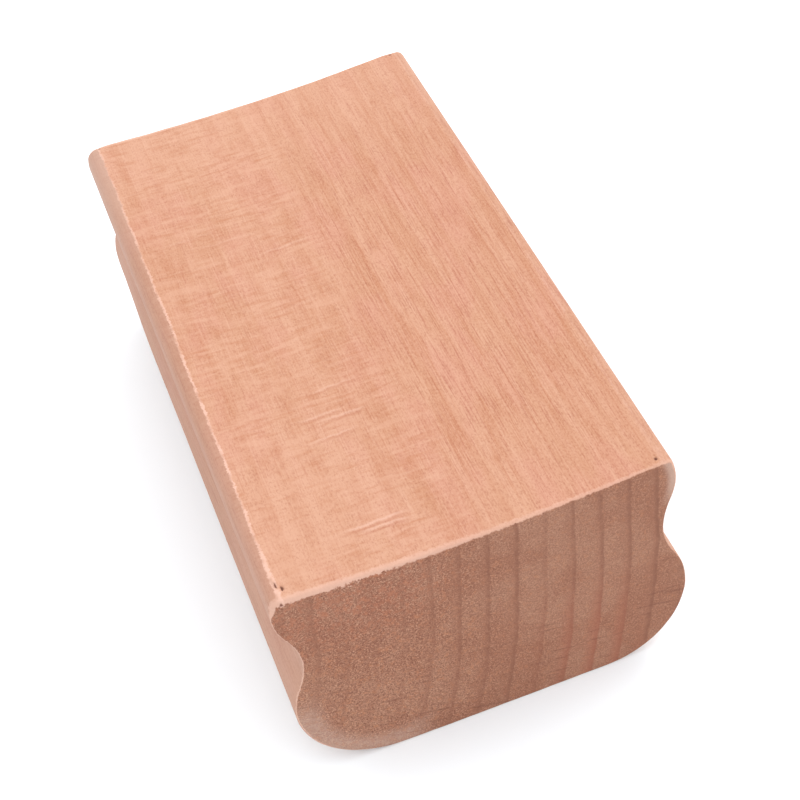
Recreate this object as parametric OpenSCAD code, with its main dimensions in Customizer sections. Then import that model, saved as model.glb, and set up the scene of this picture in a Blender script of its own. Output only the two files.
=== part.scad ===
// Fingerboard radius sanding block, milled from one piece of hardwood.
//
// The block lies on its flat palm side in the XY plane, with its origin at the centre of that
// flat. +Y runs along the block and +Z points up to the hollow radius face. Each long side has a
// finger groove between a rounded palm corner below it and a thin rounded lip above it.

/* [Block] */
// Length of the block, along the fingerboard
block_length = 95; // [75:5:160]
// Width across the palm corners, the widest part
block_width = 50; // [49.5:0.5:54]
// Height of the long edges of the radius face above the palm side
block_height = 32; // [30:0.5:35]

/* [Radius face] */
// Radius of the hollow face: 9.5, 10, 12, 14, 16 or 20 inches
face_radius = 304.8; // [241.3, 254, 304.8, 355.6, 406.4, 508]
// Width of the hollow face, from one long edge to the other
face_width = 48.4; // [46:0.2:49]

/* [Grip] */
// Radius of the rounded corners that lie in the palm
palm_radius = 11.3; // [10:0.1:12]
// Radius of the finger groove along each long side
groove_radius = 9.2; // [8:0.1:11]
// Width across the rounded lips beside the radius face
lip_width = 49.5; // [49:0.1:49.9]
// Radius of the rounded lips
lip_radius = 7.8; // [6:0.1:9]

/* [Ends] */
// Bevel that eases the edges of both sawn ends
end_bevel = 0.4; // [0.2:0.1:0.8]

/* [Hidden] */
$fn = 240;

// The groove's cutter bites this far into the palm corner and the lip, so that the round faces
// cross at a fine edge.
groove_bite = 0.02;
// The wood starts this far above the long edges, and the cutters run this far past the ends.
cut_allowance = 1;

half_length = block_length / 2;
half_width = block_width / 2;
half_face = face_width / 2;
stock_top = block_height + cut_allowance;

// The palm corner touches the flat palm side and the block's full width.
palm = [half_width - palm_radius, palm_radius];
// The lip reaches its own full width and passes through the edge of the radius face.
lip_x = lip_width / 2 - lip_radius;
lip = [lip_x, block_height - sqrt(pow(lip_radius, 2) - pow(half_face - lip_x, 2))];
// The groove's axis lies outside the block, at a groove's radius from the palm corner and the
// lip: it is the third corner of a triangle whose other two are their axes.
palm_to_groove = palm_radius + groove_radius;
lip_to_groove = lip_radius + groove_radius;
palm_to_lip = norm(lip - palm);
upward = (lip - palm) / palm_to_lip;
outward = [upward[1], -upward[0]];
along = (pow(palm_to_lip, 2) + pow(palm_to_groove, 2) - pow(lip_to_groove, 2)) / (2 * palm_to_lip);
across = sqrt(pow(palm_to_groove, 2) - pow(along, 2));
groove = palm + along * upward + across * outward;
// Lines along which the groove meets the palm corner and the lip
palm_contact = palm + (groove - palm) * palm_radius / palm_to_groove;
lip_contact = lip + (groove - lip) * lip_radius / lip_to_groove;
// Height of the radius face's axis, from the depth of the hollow at its middle
face_sag = face_radius - sqrt(pow(face_radius, 2) - pow(half_face, 2));
face_axis_z = block_height - face_sag + face_radius;

// Extrudes an outline of the cross-section, drawn as [x, z], over the block's whole length.
module along_block() {
    rotate([90, 0, 0])
        linear_extrude(height = block_length, center = true)
            children();
}

// Round bar along the block with its axis at [x, z], or the part of it between two angles about
// that axis. Its rims have the end bevel, which narrows a bar of wood.
module bar(axis, radius, start = -180, end = 180) {
    translate([axis[0], 0, axis[1]])
        rotate([90, 0, 0])
            rotate([0, 0, start])
                rotate_extrude(angle = end - start)
                    polygon([
                        [0, -half_length],
                        [radius - end_bevel, -half_length],
                        [radius, end_bevel - half_length],
                        [radius, half_length - end_bevel],
                        [radius - end_bevel, half_length],
                        [0, half_length]
                    ]);
}

// Round cutter along the block with its axis at [x, z]. It widens from where the end bevel
// begins, and runs on past both ends.
module cutter(axis, radius) {
    reach = half_length + cut_allowance;
    flare = end_bevel + cut_allowance;
    translate([axis[0], 0, axis[1]])
        rotate([90, 0, 0])
            rotate_extrude()
                polygon([
                    [0, -reach],
                    [radius + flare, -reach],
                    [radius, flare - reach],
                    [radius, reach - flare],
                    [radius + flare, reach],
                    [0, reach]
                ]);
}

// Middle of the block, as wide as the flat palm side, with the bevels of that side's two ends
module core() {
    translate([-palm[0], 0, 0])
        rotate([90, 0, 90])
            linear_extrude(height = 2 * palm[0])
                polygon([
                    [end_bevel - half_length, 0],
                    [half_length - end_bevel, 0],
                    [half_length, end_bevel],
                    [half_length, stock_top],
                    [-half_length, stock_top],
                    [-half_length, end_bevel]
                ]);
}

// One long side before it is grooved: the palm corner, the lip and the wood between them
module side() {
    bar(palm, palm_radius, -90, 90);
    bar(lip, lip_radius);
    along_block() polygon([palm, palm_contact, lip_contact, lip, [lip[0], stock_top], [palm[0], stock_top]]);
}

// Cutter that mills the finger groove of one long side
module groove_cutter() {
    cutter(groove, groove_radius + groove_bite);
}

// Cutter that hollows the upper face to the fingerboard's radius
module face_cutter() {
    cutter([0, face_axis_z], face_radius);
}

module sanding_block() {
    color("burlywood")
        difference() {
            union() {
                core();
                side();
                mirror([1, 0, 0]) side();
            }
            groove_cutter();
            mirror([1, 0, 0]) groove_cutter();
            face_cutter();
        }
}

sanding_block();
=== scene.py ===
"""Looks of the fingerboard radius sanding block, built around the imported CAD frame.

The block is one milled piece of hardwood. Its mesh is worked out here in millimetres from the
same circles as the CAD part, with eased edges, small pits and the waves of hand sanding, and
becomes metres when the mesh is made.
"""
import math

import bpy
import numpy as np
from mathutils import Matrix, Vector, noise


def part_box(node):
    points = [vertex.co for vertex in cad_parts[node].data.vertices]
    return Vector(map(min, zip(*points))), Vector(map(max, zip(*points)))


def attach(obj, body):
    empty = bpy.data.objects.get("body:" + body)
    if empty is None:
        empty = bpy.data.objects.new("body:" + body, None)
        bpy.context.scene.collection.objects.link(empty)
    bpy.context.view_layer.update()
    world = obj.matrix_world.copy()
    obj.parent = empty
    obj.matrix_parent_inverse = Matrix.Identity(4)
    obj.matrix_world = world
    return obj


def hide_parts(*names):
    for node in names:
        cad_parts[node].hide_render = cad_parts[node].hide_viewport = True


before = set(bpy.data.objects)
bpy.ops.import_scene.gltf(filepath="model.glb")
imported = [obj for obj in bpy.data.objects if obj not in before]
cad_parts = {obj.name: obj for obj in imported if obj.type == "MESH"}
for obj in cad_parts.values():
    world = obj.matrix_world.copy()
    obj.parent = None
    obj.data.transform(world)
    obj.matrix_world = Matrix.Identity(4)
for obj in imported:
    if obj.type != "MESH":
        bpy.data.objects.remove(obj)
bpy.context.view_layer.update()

MM = 0.001
NODE = "sanding_block"

# Overall size, in millimetres, from the CAD block
BLOCK_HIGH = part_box(NODE)[1] / MM
HALF_WIDTH = round(BLOCK_HIGH.x, 1)
HALF_LENGTH = round(BLOCK_HIGH.y, 1)
HEIGHT = round(BLOCK_HIGH.z, 1)

# Cross-section, in millimetres, as in the CAD part
FACE_RADIUS = 304.8
HALF_FACE = 24.2
HALF_LIP_WIDTH = 24.75
LIP_RADIUS = 7.8
PALM_RADIUS = 11.3
GROOVE_RADIUS = 9.2


def crossing(first, first_radius, second, second_radius):
    """Where two circles cross, to the right of the line from the first centre to the second."""
    gap = second - first
    distance = np.hypot(*gap)
    along = (distance**2 + first_radius**2 - second_radius**2) / (2 * distance)
    across = np.sqrt(first_radius**2 - along**2)
    step = gap / distance
    right = np.array([step[1], -step[0]])
    return first + np.multiply.outer(along, step) + np.multiply.outer(across, right)


def direction(start, end):
    """Angle of the way from start to end, in radians."""
    way = end - start
    return np.arctan2(way[..., 1], way[..., 0])


def smooth_step(low, high, value):
    """0 below low, 1 above high and a smooth rise between; low may be the higher one."""
    t = np.clip((value - low) / (high - low), 0, 1)
    return t * t * (3 - 2 * t)


def blend(first, second, share):
    """A value that goes from first to second as share goes from 0 to 1."""
    return first + (second - first) * share


# Axes of the arcs that make the right half of the cross-section, as x and z
PALM = np.array([HALF_WIDTH - PALM_RADIUS, PALM_RADIUS])
LIP_X = HALF_LIP_WIDTH - LIP_RADIUS
LIP = np.array([LIP_X, HEIGHT - math.sqrt(LIP_RADIUS**2 - (HALF_FACE - LIP_X) ** 2)])
GROOVE = crossing(PALM, PALM_RADIUS + GROOVE_RADIUS, LIP, LIP_RADIUS + GROOVE_RADIUS)
FACE_SAG = FACE_RADIUS - math.sqrt(FACE_RADIUS**2 - HALF_FACE**2)
FACE_AXIS = np.array([0, HEIGHT - FACE_SAG + FACE_RADIUS])

# Mesh steps along each stretch of the right half, from the middle of the palm side to the
# middle of the face. The end caps' corners are in the palm arc and in the eased edge.
FLAT_STEPS = 34
PALM_LOW_STEPS = 34
PALM_HIGH_STEPS = 20
GROOVE_STEPS = 20
LIP_STEPS = 18
EDGE_STEPS = 8
FACE_STEPS = FLAT_STEPS + PALM_LOW_STEPS - EDGE_STEPS // 2
END_RINGS = 6
STATIONS = 180
FLAT, PALM_ARC, GROOVE_ARC, LIP_ARC, EDGE_ARC, FACE_ARC = range(6)

# Where the palm arc's share below the cap's corner ends
PALM_SPLIT = 0.6
# How strongly the mesh steps shrink towards an edge
LIP_GRADING = 1.2
FACE_GRADING = 1.5
STATION_GRADING = 2.0
# How often the grid of an end is evened out, so that none of its faces fold over
RELAXING_ROUNDS = 60
# The tightest rounding that an inset outline keeps at the long edges
SHARPEST_EDGE = 0.03


def graded(count, grading):
    """Shares from 0 to 1 in count steps that grow from the start by a factor of e^grading."""
    return np.expm1(grading * np.linspace(0, 1, count + 1)) / math.expm1(grading)


def half_outline():
    """Stretch and share along it of each mesh point of the right half, bottom middle first."""
    palm = np.concatenate([
        np.linspace(0, PALM_SPLIT, PALM_LOW_STEPS, endpoint=False),
        np.linspace(PALM_SPLIT, 1, PALM_HIGH_STEPS + 1),
    ])
    shares = [
        (FLAT, np.linspace(0, 1, FLAT_STEPS + 1)),
        (PALM_ARC, palm),
        (GROOVE_ARC, np.linspace(0, 1, GROOVE_STEPS + 1)),
        (LIP_ARC, 1 - graded(LIP_STEPS, LIP_GRADING)[::-1]),
        (EDGE_ARC, np.linspace(0, 1, EDGE_STEPS + 1)),
        (FACE_ARC, graded(FACE_STEPS, FACE_GRADING)),
    ]
    stretch = np.concatenate([np.full(len(share) - 1, kind) for kind, share in shares])
    share = np.concatenate([share[:-1] for _, share in shares])
    return np.append(stretch, FACE_ARC), np.append(share, 1)


def on_arc(centre, radius, start, end, share):
    """Points on an arc at the given shares of the way from its start angle to its end angle."""
    angle = blend(start, end, share)
    return centre + np.stack([radius * np.cos(angle), radius * np.sin(angle)], -1)


def outline_points(stretch, share, inset, easing):
    """Points of the right half's outline, inset into the wood, with its long edge eased."""
    easing = np.maximum(easing - inset, SHARPEST_EDGE)
    edge = crossing(LIP, LIP_RADIUS - inset - easing, FACE_AXIS, FACE_RADIUS + inset + easing)
    palm_end, lip_start = direction(PALM, GROOVE), direction(LIP, GROOVE)
    edge_start, edge_end = direction(LIP, edge), direction(edge, FACE_AXIS)
    arcs = {
        PALM_ARC: (PALM, PALM_RADIUS - inset, -math.pi / 2, palm_end),
        GROOVE_ARC: (GROOVE, GROOVE_RADIUS + inset, palm_end + math.pi, lip_start + math.pi),
        LIP_ARC: (LIP, LIP_RADIUS - inset, lip_start, edge_start),
        EDGE_ARC: (edge, easing, edge_start, edge_end),
        FACE_ARC: (FACE_AXIS, FACE_RADIUS + inset, edge_end - math.pi, -math.pi / 2),
    }
    # The flat palm side, and then each arc in its place
    points = np.stack(np.broadcast_arrays(share * PALM[0], inset), -1)
    for kind, arc in arcs.items():
        points = np.where((stretch == kind)[..., None], on_arc(*arc, share), points)
    return points


# A side or an end is the sign of its x or y
LEFT, RIGHT = -1, 1
NEAR, FAR = -1, 1

# The block's own variations, in millimetres: how far its edges are eased. Each long edge has a
# value at the near end and one at the far end, and the near end's top edge has one at the left
# and one at the right.
LONG_EDGE_EASING = {LEFT: (1.25, 1.7), RIGHT: (1.0, 1.0)}
END_EASING = {NEAR: 0.3, FAR: 0.5}
NEAR_TOP_EASING = (1.0, 0.4)
NEAR_PALM_EASING = 0.7
NEAR_LIP_EASING = 0.6
FAR_PALM_EASING = 1.8
FAR_CORNER_EASING = 1.0
# How far the left lip and the left palm corner are worn back towards the far end
LIP_WEAR = 0.1
PALM_WEAR = 0.35
# How high the waves of the hand-sanded surface are: long ones on the sides, and fine ones
SIDE_WAVES = 0.05
FINE_WAVES = 0.02
# How far apart the noise is taken for two seeds that follow each other
SEED_STEP = 17.3
# The distance given to points that are nowhere near a crease
NO_CREASE = -99.0


def field(points, size, seed):
    """Smooth noise from -1 to 1 at each point; size is its grain along x, y and z."""
    scaled = points / np.array(size) + seed * SEED_STEP
    return np.array([noise.noise(p) for p in scaled.reshape(-1, 3)]).reshape(points.shape[:-1])


def long_edge_easing(side, y):
    """Radius of the eased long edge of one side at each y."""
    line = np.stack([np.full_like(y, side), y, np.zeros_like(y)], -1)
    easing = blend(*LONG_EDGE_EASING[side], smooth_step(-HALF_LENGTH, HALF_LENGTH, y))
    return easing * (1 + 0.10 * field(line, (1, 5, 1), 1) + 0.05 * field(line, (1, 1.3, 1), 2))


def near_end_easing(easing, x, z):
    """The near end's easing, with its ragged top edge and its right lip."""
    ragged = field(np.stack([x, x * 0, z * 0], -1), (0.9, 1, 1), 4)
    top = blend(*NEAR_TOP_EASING, smooth_step(-HALF_FACE, HALF_FACE, x)) * (1 + 0.16 * ragged)
    easing = blend(easing, top, smooth_step(HEIGHT - 2.2, HEIGHT - 1.1, z))
    lip = smooth_step(HEIGHT - 9, HEIGHT - 5, z) * smooth_step(HALF_FACE - 2, HALF_FACE - 0.5, x)
    return blend(easing, NEAR_LIP_EASING, lip)


def end_easing(end, x, z):
    """Radius of the eased edge round one end at each point of the outline."""
    easing = END_EASING[end] * (1 + 0.25 * field(np.stack([x, x * 0 + end, z], -1), (3, 1, 3), 3))
    left_palm = smooth_step(14, 8, z) * smooth_step(-6, -20, x)
    if end == NEAR:
        return blend(near_end_easing(easing, x, z), NEAR_PALM_EASING, left_palm)
    from_corner = np.hypot(np.abs(x) - HALF_FACE, z - HEIGHT)
    easing = blend(easing, FAR_PALM_EASING, left_palm)
    return blend(easing, FAR_CORNER_EASING, smooth_step(3.2, 0.4, from_corner))


def block_points():
    """Rings of points from one end to the other, each walking right from the palm side's middle.

    The first and last rings are the borders of the end caps."""
    stretch, share = half_outline()
    count = 2 * len(share) - 2
    mirror_stretch, mirror_share = stretch[-2:0:-1], share[-2:0:-1]
    stretch, share = np.append(stretch, mirror_stretch), np.append(share, mirror_share)
    side = np.where(np.arange(count) <= count // 2, RIGHT, LEFT)

    toward_end = graded(STATIONS // 2, STATION_GRADING)
    half_stations = 1 - toward_end[::-1]
    stations = np.concatenate([-half_stations[::-1], half_stations[1:]])
    turns = np.linspace(0, math.pi / 2, END_RINGS + 1)[1:]

    plain = outline_points(stretch, share, np.zeros(count), np.ones(count))
    eased = {end: end_easing(end, plain[:, 0] * side, plain[:, 1]) for end in (NEAR, FAR)}
    rows = [(NEAR, turn, 1.0) for turn in turns[::-1]]
    rows += [(NEAR if s < 0 else FAR, 0.0, abs(s)) for s in stations]
    rows += [(FAR, turn, 1.0) for turn in turns]
    y = np.array([
        end * station * (HALF_LENGTH - eased[end] * (1 - math.sin(turn)))
        for end, turn, station in rows
    ])
    inset = np.array([eased[end] * (1 - math.cos(turn)) for end, turn, _ in rows])
    easing = np.where(side == RIGHT, long_edge_easing(RIGHT, y), long_edge_easing(LEFT, y))
    points = outline_points(stretch, share, inset, easing)
    return np.stack([points[..., 0] * side, y, points[..., 1]], -1)


def cap_sides(ring):
    """The sides of an end's grid, cut from its border ring: bottom, top, left and right.

    The bottom and the top run to the right, and the left and the right run up."""
    half_bottom = FLAT_STEPS + PALM_LOW_STEPS
    width = 2 * half_bottom
    rise = PALM_HIGH_STEPS + GROOVE_STEPS + LIP_STEPS + EDGE_STEPS // 2
    ring = np.roll(ring, half_bottom, axis=0)
    bottom = ring[:width + 1]
    right = ring[width:width + rise + 1]
    top = ring[width + rise:2 * width + rise + 1][::-1]
    left = np.concatenate([ring[2 * width + rise:], ring[:1]])[::-1]
    return bottom, top, left, right


def cap_grid(ring):
    """Points that fill an end, from its border ring: rows from the palm side up to the face."""
    bottom, top, left, right = cap_sides(ring)
    u = np.linspace(0, 1, len(bottom))[None, :, None]
    v = np.linspace(0, 1, len(left))[:, None, None]
    ruled = (1 - v) * bottom[None] + v * top[None] + (1 - u) * left[:, None] + u * right[:, None]
    corners = (1 - u) * (1 - v) * bottom[0] + u * (1 - v) * bottom[-1]
    corners = corners + (1 - u) * v * top[0] + u * v * top[-1]
    grid = ruled - corners
    for _ in range(RELAXING_ROUNDS):
        rows = grid[:-2, 1:-1] + grid[2:, 1:-1]
        columns = grid[1:-1, :-2] + grid[1:-1, 2:]
        grid[1:-1, 1:-1] = (rows + columns) / 4
    return grid


def cap_numbers(ring, first_inner):
    """Numbers of the mesh points in an end's grid: its border ring's, then new ones inside."""
    bottom, top, left, right = cap_sides(ring)
    numbers = np.empty((len(left), len(bottom)), dtype=int)
    numbers[0], numbers[-1] = bottom, top
    numbers[:, 0], numbers[:, -1] = left, right
    inner = numbers[1:-1, 1:-1]
    inner[:] = first_inner + np.arange(inner.size).reshape(inner.shape)
    return numbers


# Small pits in the face beside its corners: x and y, reach across and along the grain and
# depth, in millimetres
FACE_PITS = [
    (-22.35, -45.50, 0.22, 0.60, 0.30),
    (-22.95, -44.80, 0.20, 0.70, 0.26),
    (22.70, -46.30, 0.28, 0.42, 0.26),
    (-22.50, 46.80, 0.24, 0.34, 0.26),
    (22.50, 46.80, 0.24, 0.34, 0.26),
]
# A pit in the near end under the left corner of the face: x and z, radius and depth
END_PIT = (-23.1, 31.2, 0.38, 0.24)


def pit_depth(points):
    """Depth of the pits at each point."""
    x, y, z = points[..., 0], points[..., 1], points[..., 2]
    depth = np.zeros_like(x)
    for pit_x, pit_y, across, along, deepest in FACE_PITS:
        pit = deepest * smooth_step(1, 0.3, np.hypot((x - pit_x) / across, (y - pit_y) / along))
        depth = np.maximum(depth, pit * (z > HEIGHT - 2.5))
    pit_x, pit_z, radius, deepest = END_PIT
    pit = deepest * smooth_step(radius, 0.3 * radius, np.hypot(x - pit_x, z - pit_z))
    return np.maximum(depth, pit * (y < 1 - HALF_LENGTH))


def from_crease(points):
    """Distance from the line where the eased long edge meets the face, positive on the face."""
    x, y, z = points[..., 0], points[..., 1], points[..., 2]
    distance = np.full_like(x, NO_CREASE)
    stations = np.unique(y)
    for side in (LEFT, RIGHT):
        reach = HALF_FACE - np.interp(y, stations, long_edge_easing(side, stations))
        upper = (x * side > 0) & (z > HEIGHT - 3)
        distance = np.where(upper, reach - np.abs(x), distance)
    return distance


def surface_relief(points):
    """How far the worn and hand-sanded surface stands above the plain shape, at each point."""
    x, y, z = points[..., 0], points[..., 1], points[..., 2]
    on_face = smooth_step(FACE_RADIUS + 0.4, FACE_RADIUS + 0.1, np.hypot(x, z - FACE_AXIS[1]))
    at_end = smooth_step(HALF_LENGTH - 0.15, HALF_LENGTH - 0.02, np.abs(y))
    on_side = (1 - on_face) * (1 - at_end)
    relief = on_side * SIDE_WAVES * field(points, (8, 35, 8), 5)
    relief += on_side * FINE_WAVES * field(points, (1.6, 14, 1.6), 6)
    relief += on_face * FINE_WAVES * field(points, (14, 4, 14), 7)
    relief += at_end * FINE_WAVES * field(points, (1.3, 1, 1.3), 8)
    worn_lip = smooth_step(HEIGHT - 10, HEIGHT - 6, z) * smooth_step(-HALF_FACE + 2, -HALF_FACE, x)
    relief -= LIP_WEAR * worn_lip * smooth_step(-20, 40, y) * (1 - at_end)
    worn_palm = smooth_step(18, 11, z) * smooth_step(-PALM[0] - 4, -PALM[0] - 9, x)
    relief -= PALM_WEAR * worn_palm * smooth_step(24, HALF_LENGTH, y) * (1 - at_end)
    return relief - pit_depth(points)


def block_mesh():
    """The block as one closed mesh: rings along its length and a grid over each end."""
    rings = block_points()
    points = [rings.reshape(-1, 3)]
    loops = np.arange(rings[..., 0].size).reshape(rings.shape[:2])
    ahead = np.roll(loops, -1, axis=1)
    faces = [np.stack([loops[:-1], loops[1:], ahead[1:], ahead[:-1]], -1).reshape(-1, 4)]
    point_count = loops.size
    for row, flip in ((0, False), (-1, True)):
        inner = cap_grid(rings[row])[1:-1, 1:-1].reshape(-1, 3)
        cap = cap_numbers(loops[row], point_count)
        quads = np.stack([cap[:-1, :-1], cap[:-1, 1:], cap[1:, 1:], cap[1:, :-1]], -1)
        quads = quads.reshape(-1, 4)
        points.append(inner)
        faces.append(quads[:, ::-1] if flip else quads)
        point_count += len(inner)
    return np.concatenate(points), np.concatenate(faces)


def srgb(red, green, blue):
    """A colour in sRGB bytes as the linear colour that shader nodes take."""
    linear = [(c / 255 / 12.92) if c < 11 else ((c / 255 + 0.055) / 1.055) ** 2.4
              for c in (red, green, blue)]
    return (*linear, 1)


class Shader:
    """Adds the nodes of one material, with a method for each kind of node that is used."""

    def __init__(self, name):
        self.material = bpy.data.materials.new(name)
        self.material.use_nodes = True
        self.tree = self.material.node_tree
        self.surface = self.tree.nodes["Principled BSDF"]

    def feed(self, socket, value):
        """Links a node's output to the socket, or sets the socket to a constant"""
        if isinstance(value, bpy.types.NodeSocket):
            self.tree.links.new(value, socket)
        else:
            socket.default_value = value

    def vector_math(self, operation, vector, numbers):
        """A vector added to or multiplied by three numbers"""
        node = self.tree.nodes.new("ShaderNodeVectorMath")
        node.operation = operation
        self.feed(node.inputs[0], vector)
        self.feed(node.inputs[1], numbers)
        return node.outputs[0]

    def position(self):
        """The object's own coordinates, in millimetres"""
        texture = self.tree.nodes.new("ShaderNodeTexCoord")
        return self.vector_math("MULTIPLY", texture.outputs["Object"], (1 / MM, 1 / MM, 1 / MM))

    def point(self, x, y, z):
        """A vector from its three coordinates"""
        node = self.tree.nodes.new("ShaderNodeCombineXYZ")
        for socket, value in zip(node.inputs, (x, y, z)):
            self.feed(socket, value)
        return node.outputs[0]

    def attribute(self, name):
        """A number that each point of the mesh has"""
        node = self.tree.nodes.new("ShaderNodeAttribute")
        node.attribute_name = name
        return node.outputs["Fac"]

    def axes(self, vector):
        """The three coordinates of a vector"""
        node = self.tree.nodes.new("ShaderNodeSeparateXYZ")
        self.feed(node.inputs[0], vector)
        return node.outputs[0], node.outputs[1], node.outputs[2]

    def math(self, operation, *values):
        """The result of one arithmetic node"""
        node = self.tree.nodes.new("ShaderNodeMath")
        node.operation = operation
        for socket, value in zip(node.inputs, values):
            self.feed(socket, value)
        return node.outputs[0]

    def times(self, *values):
        """The product of all values"""
        product = values[0]
        for value in values[1:]:
            product = self.math("MULTIPLY", product, value)
        return product

    def plus(self, *values):
        """The sum of all values"""
        total = values[0]
        for value in values[1:]:
            total = self.math("ADD", total, value)
        return total

    def minus(self, first, second):
        """first less second"""
        return self.math("SUBTRACT", first, second)

    def distance(self, x, z, centre):
        """Distance in the cross-section from a centre given as x and z"""
        side, rise = self.minus(x, centre[0]), self.minus(z, centre[1])
        return self.math("SQRT", self.plus(self.times(side, side), self.times(rise, rise)))

    def fade(self, value, low, high, start=0.0, end=1.0):
        """start below low, end above high and a smooth change between"""
        node = self.tree.nodes.new("ShaderNodeMapRange")
        node.interpolation_type = "SMOOTHSTEP"
        self.feed(node.inputs["Value"], value)
        if low > high:
            low, high, start, end = high, low, end, start
        limits = {"From Min": low, "From Max": high, "To Min": start, "To Max": end}
        for name, number in limits.items():
            self.feed(node.inputs[name], number)
        return node.outputs["Result"]

    def noise(self, where, size, detail=2.0, roughness=0.5, seed=0.0):
        """Noise from 0 to 1; size is its grain along each axis, in the vector's own units"""
        node = self.tree.nodes.new("ShaderNodeTexNoise")
        scaled = self.vector_math("MULTIPLY", where, tuple(1 / s for s in size))
        placed = self.vector_math("ADD", scaled, (seed, seed, seed))
        self.feed(node.inputs["Vector"], placed)
        self.feed(node.inputs["Scale"], 1.0)
        self.feed(node.inputs["Detail"], detail)
        self.feed(node.inputs["Roughness"], roughness)
        return node.outputs[0]

    def random(self, value):
        """A number from 0 to 1 for each whole value"""
        node = self.tree.nodes.new("ShaderNodeTexWhiteNoise")
        node.noise_dimensions = "1D"
        self.feed(node.inputs["W"], value)
        return node.outputs["Value"]

    def mix(self, factor, first, second):
        """The first colour where factor is 0, and the second one where it is 1"""
        node = self.tree.nodes.new("ShaderNodeMix")
        node.data_type = "RGBA"
        self.feed(node.inputs["Factor"], factor)
        colours = [socket for socket in node.inputs if socket.type == "RGBA"]
        self.feed(colours[0], first)
        self.feed(colours[1], second)
        return next(socket for socket in node.outputs if socket.type == "RGBA")

    def paint(self, colour, layer, *strengths):
        """A colour with another laid over it, as strongly as the product of the strengths"""
        return self.mix(self.times(*strengths), colour, layer)

    def bump(self, height, distance, strength):
        """Shading normals of a relief that is distance deep, in metres, for a height of 1"""
        node = self.tree.nodes.new("ShaderNodeBump")
        self.feed(node.inputs["Height"], height)
        self.feed(node.inputs["Distance"], distance)
        self.feed(node.inputs["Strength"], strength)
        return node.outputs["Normal"]


# Growth rings: the tree's pith, as x and z, and the width of one ring, in millimetres
PITH = (-112.1, 33)
RING_WIDTH = 3.55
# Depth of the finest relief of the wood, in metres, and how strongly it shows
RELIEF_DEPTH = 0.05 * MM
RELIEF_STRENGTH = 0.8

# Colours of the wood, as sRGB bytes
FACE_COLOUR = srgb(179, 130, 101)
PINK_COLOUR = srgb(184, 131, 109)
PALE_COLOUR = srgb(192, 147, 122)
ORANGE_COLOUR = srgb(168, 111, 79)
BROWN_COLOUR = srgb(146, 88, 62)
# Pale colour of worn edges and scratches, also used as painted highlight on the ends' eased edges
EDGE_AND_HIGHLIGHT_COLOUR = srgb(205, 166, 148)
# Darker colour of the sides, partly painted shade for the left side
SIDE_AND_SHADE_COLOUR = srgb(148, 116, 102)
RED_COLOUR = srgb(150, 84, 62)
# The ends' base colours are darker end grain and partly painted shade, since the ends get less
# light than the face
END_AND_SHADE_COLOUR = srgb(144, 101, 80)
END_BROWN_AND_SHADE = srgb(135, 89, 68)
END_DARK = srgb(106, 62, 47)
END_PALE = srgb(182, 138, 112)
# Pale colour of rubbed wood, also used as painted highlight at the right lip's end edge
RUBBED_AND_HIGHLIGHT_COLOUR = srgb(180, 152, 137)
PIT_COLOUR = srgb(112, 68, 52)

# Colours of the paper under the block, as sRGB bytes
PAPER_COLOURS = (srgb(240, 248, 252), srgb(242, 249, 252))

# Scratches that the sanding left nearly across the grain: middle x and y, half length, half
# width, slope and strength, with lengths in millimetres
SCRATCHES = [
    (-9.5, -40.2, 4.6, 0.34, 0.04, 1.0),
    (-8.6, -41.1, 3.6, 0.32, 0.03, 0.9),
    (-7.0, -16.2, 3.6, 0.32, 0.06, 0.6),
    (-10.0, -20.6, 3.2, 0.32, 0.05, 0.6),
    (-7.4, -21.6, 3.4, 0.36, 0.02, 0.7),
    (-9.8, -24.6, 3.8, 0.32, 0.05, 0.6),
    (-4.2, 12.9, 4.4, 0.34, 0.04, 0.45),
    (-12.0, 17.6, 4.0, 0.30, 0.03, 0.3),
    (-16.0, 20.2, 4.5, 0.32, 0.05, 0.3),
]


class Wood(Shader):
    """The wood's material, with the places, masks and grains that several of its layers share.

    Places and the sizes of noise are in millimetres, and the other numbers are shares."""

    def __init__(self):
        super().__init__("wood")
        self.where = self.position()
        self.x, self.y, self.z = self.axes(self.where)
        self.from_end = self.minus(HALF_LENGTH, self.math("ABSOLUTE", self.y))

        # Masks of the surfaces, ragged where they meet
        self.rag = self.wave((0.4, 0.4, 0.4), 3, 0.65, 3.1)
        fuzz = self.times(0.4, self.fade(self.x, -19, -15), self.fade(self.x, -8, -11))
        fuzz = self.times(fuzz, self.fade(self.z, 30, 30.8))
        ragged_end = self.plus(self.from_end, self.times(self.plus(0.3, fuzz), self.rag))
        self.on_end = self.fade(ragged_end, 0.14, 0.04)
        from_axis = self.distance(self.x, self.z, tuple(FACE_AXIS))
        self.on_face = self.fade(from_axis, FACE_RADIUS + 0.35, FACE_RADIUS + 0.1)

        # The left of the face, where the sanding went across the grain
        edge_of_left = self.times(8, self.wave((6, 22, 6), 2, 0.5, 8.8))
        self.left = self.times(self.on_face, self.fade(self.plus(self.x, edge_of_left), 5, -3))

        # Lengthwise grain, in two sizes, and the marks of sanding across it
        self.fine = self.spots((0.17, 6, 0.17), 2, 0.6, 2.2)
        self.grain = self.spots((0.42, 17, 0.42), 2, 0.6, 5.5)
        self.crossmark = self.spots((3.6, 0.6, 3.6), 2, 0.6, 6.6)
        patches = self.fade(self.spots((9, 6, 9), 1, 0.5, 0.7), 0.35, 0.65, 0.4, 1.0)
        self.cross = self.times(self.left, patches)

    def spots(self, *settings):
        """Noise from 0 to 1 in the wood; the settings are its size, detail, roughness and seed"""
        return self.noise(self.where, *settings)

    def wave(self, *settings):
        """The same noise, from -0.5 to 0.5"""
        return self.minus(self.spots(*settings), 0.5)


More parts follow.
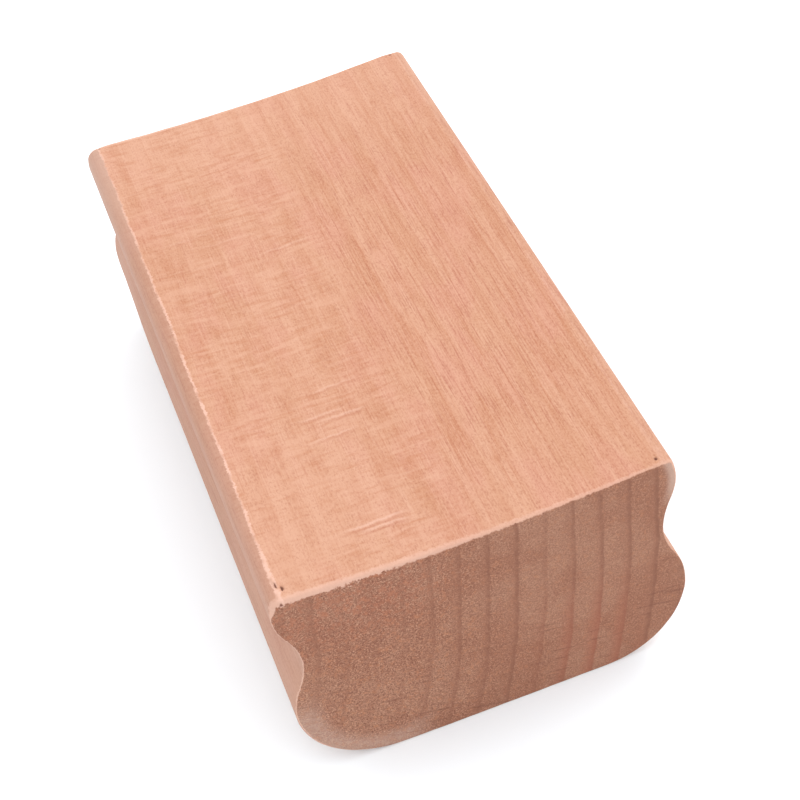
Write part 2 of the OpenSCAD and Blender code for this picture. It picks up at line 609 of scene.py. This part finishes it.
def growth_rings(s):
    """Masks of the thin dark ring lines and of the darker late wood, and the ring radius"""
    sway = s.times(2.2, s.wave((26, 160, 26), 2, 0.5, 7.7))
    ripple = s.times(0.5, s.wave((2.5, 60, 2.5), 2, 0.5, 1.3))
    radius = s.plus(s.distance(s.x, s.z, PITH), sway, ripple)
    turn = s.math("DIVIDE", radius, RING_WIDTH)
    ring = s.math("FLOOR", turn)
    share = s.minus(turn, ring)
    strength = s.fade(s.random(ring), 0.0, 1.0, 0.3, 1.0)
    broken = s.fade(s.spots((1.2, 3, 1.2), 2, 0.6, 12.5), 0.3, 0.6, 0.45, 1.0)
    ring_end = s.fade(share, 1.0, 0.93)
    line = s.times(s.fade(share, 0.74, 0.93), ring_end, strength, broken)
    late = s.times(s.fade(share, 0.35, 0.92), ring_end, strength)
    return line, late, radius


def grain_colour(s, late):
    """Colour of the wood along the grain: streaks, paler zones, stains, fibres and dust"""
    streak = s.spots((2.0, 45, 2.0), 2, 0.5, 9.1)
    pink = s.spots((6, 16, 6), 2, 0.55, 11.7)
    blotch = s.spots((2.2, 6.5, 2.2), 3, 0.6, 4.4)
    stain = s.spots((2.6, 3.4, 2.6), 2, 0.55, 18.6)
    dust = s.spots((0.22, 0.4, 0.22), 2, 0.7, 14.2)
    near_left = s.times(s.fade(s.y, -8, -30), s.fade(s.x, -3.6, -5.2))
    right_grain = s.times(s.fade(s.left, 1.0, 0.0, 0.5, 1.0), s.fade(s.y, 40, 10, 0.5, 0.9))
    right_grain = s.times(right_grain, s.fade(s.y, -46, -28, 0.55, 1.0))
    colour = s.mix(s.fade(streak, 0.35, 0.65, 0.0, 0.5), FACE_COLOUR, PALE_COLOUR)
    colour = s.paint(colour, PINK_COLOUR, 0.7, s.fade(pink, 0.45, 0.65))
    colour = s.paint(colour, PALE_COLOUR, 0.4, near_left)
    colour = s.paint(colour, PALE_COLOUR, s.fade(s.y, 22, 44, 0.0, 0.5))
    colour = s.paint(colour, ORANGE_COLOUR, 0.45, s.fade(blotch, 0.5, 0.78))
    colour = s.paint(colour, ORANGE_COLOUR, 0.36, s.on_face, s.fade(stain, 0.56, 0.76))
    colour = s.paint(colour, ORANGE_COLOUR, 0.6, right_grain, s.fade(s.grain, 0.5, 0.7))
    colour = s.paint(colour, RED_COLOUR, 0.6, right_grain, s.fade(s.fine, 0.5, 0.72))
    colour = s.paint(colour, PALE_COLOUR, 0.5, s.fade(s.fine, 0.5, 0.3))
    colour = s.paint(colour, ORANGE_COLOUR, 0.35, late)
    colour = s.paint(colour, BROWN_COLOUR, 0.42, s.fade(dust, 0.5, 0.7))
    return s.paint(colour, PALE_COLOUR, 0.4, s.fade(dust, 0.5, 0.3))


def scratches(s):
    """Masks of the pale crests of the scratches and of the painted shade in the darker troughs
    beside them
    """
    crest, shaded_trough = 0.0, 0.0
    for middle_x, middle_y, half_length, half_width, slope, strength in SCRATCHES:
        straight = s.plus(middle_y, s.times(slope, s.minus(s.x, middle_x)))
        waver = s.times(0.9, s.wave((1.6, 60, 60), 2, 0.6, middle_y))
        off = s.plus(s.minus(s.y, straight), waver)
        from_middle = s.math("ABSOLUTE", s.minus(s.x, middle_x))
        along = s.fade(from_middle, half_length, 0.4 * half_length, 0.0, strength)
        above = s.fade(s.math("ABSOLUTE", off), half_width, 0.0)
        # Painted shade: a darker line beside each scratch
        below = s.fade(s.math("ABSOLUTE", s.plus(off, 1.4 * half_width)), half_width, 0.0)
        crest = s.math("MAXIMUM", crest, s.times(above, along))
        shaded_trough = s.math("MAXIMUM", shaded_trough, s.times(below, along))
    return crest, shaded_trough


def sanding_marks(s, colour, scratch, shaded_trough):
    """Adds the marks of sanding across the grain and the scratches, with painted shade in their
    troughs, to the colour
    """
    crossband = s.spots((6, 1.7, 6), 2, 0.6, 1.9)
    colour = s.paint(colour, ORANGE_COLOUR, 0.55, s.cross, s.fade(s.crossmark, 0.5, 0.72))
    colour = s.paint(colour, PALE_COLOUR, 0.45, s.cross, s.fade(s.crossmark, 0.5, 0.3))
    colour = s.paint(colour, PALE_COLOUR, 0.45, s.left, s.fade(crossband, 0.5, 0.7))
    # Painted shade in the scratches' troughs
    colour = s.paint(colour, RED_COLOUR, 0.3, shaded_trough, s.on_face)
    return s.paint(colour, EDGE_AND_HIGHLIGHT_COLOUR, 0.5, scratch)


def worn_sides_with_painted_light(s, colour):
    """Adds the duller sides, darkest on the left as painted shade, and the paler eased edges,
    polished by the paper and on the ends' edges partly painted highlight
    """
    crease = s.plus(s.attribute("from_crease"), s.times(0.8, s.rag))
    side = s.math("MAXIMUM", s.minus(1.0, s.on_face), s.fade(crease, 0.0, -0.15))
    # Painted shade: the sides are darkened, most on the left, which faces away from the key light
    dull_and_shaded = s.times(side, s.fade(s.x, 5, -5, 0.2, 1.0))
    far_lip = s.times(dull_and_shaded, s.fade(s.z, 20, 27), s.fade(s.y, 10, 46))
    colour = s.paint(colour, SIDE_AND_SHADE_COLOUR, 0.45, dull_and_shaded)
    colour = s.paint(colour, RUBBED_AND_HIGHLIGHT_COLOUR, 0.34, far_lip)
    ridge_width = s.fade(s.y, -34, -46, 0.22, 0.45)
    from_ridge = s.math("DIVIDE", s.math("ABSOLUTE", s.plus(crease, 0.05)), ridge_width)
    worn = s.fade(s.spots((1.2, 2.2, 1.2), 2, 0.6, 16.4), 0.35, 0.6, 0.3, 0.9)
    worn = s.times(worn, s.fade(s.y, 45, -25, 0.6, 1.0))
    ridge = s.times(s.fade(from_ridge, 1.0, 0.4), worn, s.fade(s.x, 0, -1, 0.3, 1.0))
    colour = s.paint(colour, EDGE_AND_HIGHLIGHT_COLOUR, ridge)
    # Pale rim along the eased end edges, wider on the left: partly sanded wood, partly painted
    # highlight where the rounding faces the light
    edge_width = s.times(s.fade(s.x, -24, 24, 1.0, 0.55), s.fade(s.z, 29.5, 31, 0.35, 1.0))
    lit_end_edge = s.math("DIVIDE", s.plus(s.from_end, s.times(0.8, s.rag)), edge_width)
    strength = s.fade(s.x, -20, 20, 0.6, 0.4)
    return s.paint(colour, EDGE_AND_HIGHLIGHT_COLOUR, strength, s.fade(lit_end_edge, 1.0, 0.5))


def end_rings(s, colour, line, late):
    """Adds the growth rings to the colour of the ends, clearer towards the right"""
    lower_right = s.times(s.fade(s.x, 2, 9), s.fade(s.x, 20, 15), s.fade(s.z, 20, 8))
    colour = s.paint(colour, END_DARK, 0.9, s.fade(s.x, -16, 6, 0.35, 1.0), line)
    colour = s.paint(colour, END_BROWN_AND_SHADE, s.fade(s.x, -16, 6, 0.4, 0.5), late)
    return s.paint(colour, RED_COLOUR, 0.55, lower_right, late)


def rubbed_and_lit_corners(s, colour, clump):
    """Adds the pale rims of the ends: a rubbed one at the left palm corner, and a painted
    highlight at the right lip's eased edge, which faces the light
    """
    low_left = s.times(s.fade(s.x, 6 - PALM[0], -PALM[0]), s.fade(s.z, PALM[1] + 4, PALM[1] - 2))
    from_palm = s.distance(s.x, s.z, (-PALM[0], PALM[1]))
    palm_rim = s.times(low_left, s.fade(from_palm, PALM_RADIUS - 4, PALM_RADIUS - 1.5))
    colour = s.paint(colour, RUBBED_AND_HIGHLIGHT_COLOUR, palm_rim, s.fade(clump, 0.35, 0.6, 0.55, 0.35))
    # Painted highlight: a pale rim at the right lip's eased end edge, which faces the light from
    # the right
    lip_side = s.times(s.fade(s.x, HALF_FACE - 4, HALF_FACE), s.fade(s.z, HEIGHT - 8, HEIGHT - 4))
    from_lip = s.distance(s.math("ABSOLUTE", s.x), s.z, tuple(LIP))
    lit_lip_rim = s.times(lip_side, s.fade(from_lip, LIP_RADIUS - 1.7, LIP_RADIUS - 0.6))
    return s.paint(colour, RUBBED_AND_HIGHLIGHT_COLOUR, 0.65, lit_lip_rim)


def wood_rays(s, radius):
    """Mask of the short dark rays that cross the rings of the ends"""
    angle = s.math("ARCTAN2", s.minus(s.z, PITH[1]), s.minus(s.x, PITH[0]))
    polar = s.point(s.times(-PITH[0], angle), radius, 0.0)
    return s.fade(s.noise(polar, (0.5, 7, 1), 2, 0.6, 6.1), 0.6, 0.7)


def end_grain(s, line, late, radius):
    """Colour and relief of the sawn ends: pores and sawdust-coloured specks, rings and rays, on a
    darker base that is partly painted shade
    """
    speck = s.spots((0.2, 0.2, 0.2), 2, 0.75, 3.3)
    clump = s.spots((0.55, 0.55, 0.55), 3, 0.65, 2.9)
    cloud = s.spots((7, 7, 7), 3, 0.55, 5.2)
    amount = s.fade(s.x, 10, -14, 0.65, 1.15)
    upper_left = s.times(s.fade(s.x, 2, -12), s.fade(s.z, 16, 28))
    # Base colour of the ends, partly painted shade
    colour = s.mix(s.fade(cloud, 0.38, 0.62), END_AND_SHADE_COLOUR, END_BROWN_AND_SHADE)
    colour = s.paint(colour, END_PALE, 0.75, amount, s.fade(speck, 0.5, 0.68))
    colour = s.paint(colour, END_DARK, 0.85, amount, s.fade(speck, 0.5, 0.32))
    colour = s.paint(colour, ORANGE_COLOUR, 0.5, amount, s.fade(clump, 0.52, 0.7))
    colour = s.paint(colour, RED_COLOUR, 0.3, upper_left, s.fade(clump, 0.4, 0.6))
    colour = end_rings(s, colour, line, late)
    colour = rubbed_and_lit_corners(s, colour, clump)
    colour = s.paint(colour, END_DARK, 0.45, s.fade(s.z, 24, 10, 0.3, 1.0), wood_rays(s, radius))
    height = s.plus(s.times(1.8, s.minus(speck, 0.5)), s.times(1.4, s.minus(clump, 0.5)))
    return colour, height


def face_height(s, scratch):
    """Finest relief of the sides and the face, from fibres, sanding marks and scratches"""
    fibres = s.plus(s.times(0.6, s.minus(s.fine, 0.5)), s.times(0.5, s.minus(s.grain, 0.5)))
    marks = s.times(1.2, s.cross, s.minus(s.crossmark, 0.5))
    return s.plus(fibres, marks, s.times(0.5, scratch))


def wood_material():
    """Straight-grained hardwood: rings about the pith, fine grain, sanding marks and end grain."""
    s = Wood()
    line, late, radius = growth_rings(s)
    crest, shaded_trough = scratches(s)
    scratch = s.times(crest, s.on_face)
    colour = grain_colour(s, late)
    colour = sanding_marks(s, colour, scratch, shaded_trough)
    colour = worn_sides_with_painted_light(s, colour)
    end_colour, end_height = end_grain(s, line, late, radius)
    colour = s.paint(colour, end_colour, s.on_end)
    colour = s.paint(colour, PIT_COLOUR, s.fade(s.attribute("pit"), 0.06, 0.24))
    height = s.times(s.minus(1.0, s.on_end), face_height(s, scratch))
    height = s.plus(height, s.times(s.on_end, end_height))
    roughness = s.plus(0.62, s.times(0.12, s.fine), s.times(0.14, s.on_end))
    s.feed(s.surface.inputs["Base Color"], colour)
    s.feed(s.surface.inputs["Roughness"], roughness)
    s.feed(s.surface.inputs["Specular IOR Level"], 0.35)
    s.feed(s.surface.inputs["Normal"], s.bump(height, RELIEF_DEPTH, RELIEF_STRENGTH))
    return s.material


def floor_material():
    """White paper with a trace of unevenness."""
    s = Shader("paper")
    tone = s.noise(s.position(), (90, 90, 90))
    s.feed(s.surface.inputs["Base Color"], s.mix(tone, *PAPER_COLOURS))
    s.feed(s.surface.inputs["Roughness"], 0.9)
    return s.material


# The lights, with lengths in metres: one soft key light and even light from all round
KEY_PLACE = (0.45, 0.25, 0.6)
KEY_TARGET = (0, 0, 0)
KEY_WIDTH = 0.5
KEY_WATTS = 1.8
AROUND_COLOUR = (1.0, 0.99, 1.0, 1)
AROUND_STRENGTH = 1.52

# The camera, in metres, with its lens and sensor in millimetres and its roll in degrees
CAMERA_PLACE = (-0.03495, -0.19207, 0.1949)
CAMERA_TARGET = (0.00285, -0.00696, 0.016)
CAMERA_ROLL = -11.3
CAMERA_LENS = 88.3
CAMERA_SENSOR = 36
CAMERA_NEAREST = 0.01


def add_object(name, data):
    """Puts a new object with this mesh, light or camera into the scene."""
    thing = bpy.data.objects.new(name, data)
    bpy.context.scene.collection.objects.link(thing)
    return thing


def make_block():
    """Builds the block's object, with the surface relief along its normals."""
    points, faces = block_mesh()
    mesh = bpy.data.meshes.new("block")
    mesh.from_pydata((points * MM).tolist(), [], faces.tolist())
    mesh.validate()
    normals = np.zeros(len(points) * 3)
    mesh.vertices.foreach_get("normal", normals)
    for name, values in (("pit", pit_depth(points)), ("from_crease", from_crease(points))):
        mesh.attributes.new(name, "FLOAT", "POINT").data.foreach_set("value", values)
    points = points + normals.reshape(-1, 3) * surface_relief(points)[:, None]
    lowest = np.array([-HALF_WIDTH, -HALF_LENGTH, 0])
    highest = np.array([HALF_WIDTH, HALF_LENGTH, HEIGHT])
    mesh.vertices.foreach_set("co", (points.clip(lowest, highest) * MM).ravel())
    mesh.shade_smooth()
    mesh.update()
    mesh.materials.append(wood_material())
    return add_object("milled_block", mesh)


def make_floor(width):
    """Builds the square sheet of paper that the block lies on; width is in metres."""
    mesh = bpy.data.meshes.new("floor")
    half = width / 2
    corners = [(-half, -half, 0), (half, -half, 0), (half, half, 0), (-half, half, 0)]
    mesh.from_pydata(corners, [], [(0, 1, 2, 3)])
    mesh.materials.append(floor_material())
    return add_object("floor", mesh)


def aim(thing, place, target, roll=0.0):
    """Places a camera or light and turns it to look at target; roll turns it about its view."""
    thing.location = place
    turn = (Vector(target) - Vector(place)).to_track_quat("-Z", "Y").to_matrix().to_4x4()
    thing.rotation_euler = (turn @ Matrix.Rotation(roll, 4, "Z")).to_euler()


def make_key_light():
    """Adds the soft light that gives the block its shadow."""
    light = bpy.data.lights.new("key", "AREA")
    light.shape = "SQUARE"
    light.size = KEY_WIDTH
    light.energy = KEY_WATTS
    aim(add_object("key", light), KEY_PLACE, KEY_TARGET)


def make_camera():
    """Adds the scene's camera."""
    lens = bpy.data.cameras.new("camera")
    lens.lens = CAMERA_LENS
    lens.sensor_width = CAMERA_SENSOR
    lens.clip_start = CAMERA_NEAREST
    camera = add_object("camera", lens)
    aim(camera, CAMERA_PLACE, CAMERA_TARGET, math.radians(CAMERA_ROLL))
    bpy.context.scene.camera = camera


def make_world():
    """Lights the scene evenly from all round."""
    world = bpy.data.worlds.new("studio")
    world.use_nodes = True
    background = world.node_tree.nodes["Background"]
    background.inputs["Color"].default_value = AROUND_COLOUR
    background.inputs["Strength"].default_value = AROUND_STRENGTH
    bpy.context.scene.world = world


block = make_block()
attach(block, "root")
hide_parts(NODE)
make_floor(4.0)
make_camera()
make_world()
make_key_light()
bpy.context.scene.view_settings.view_transform = "Standard"
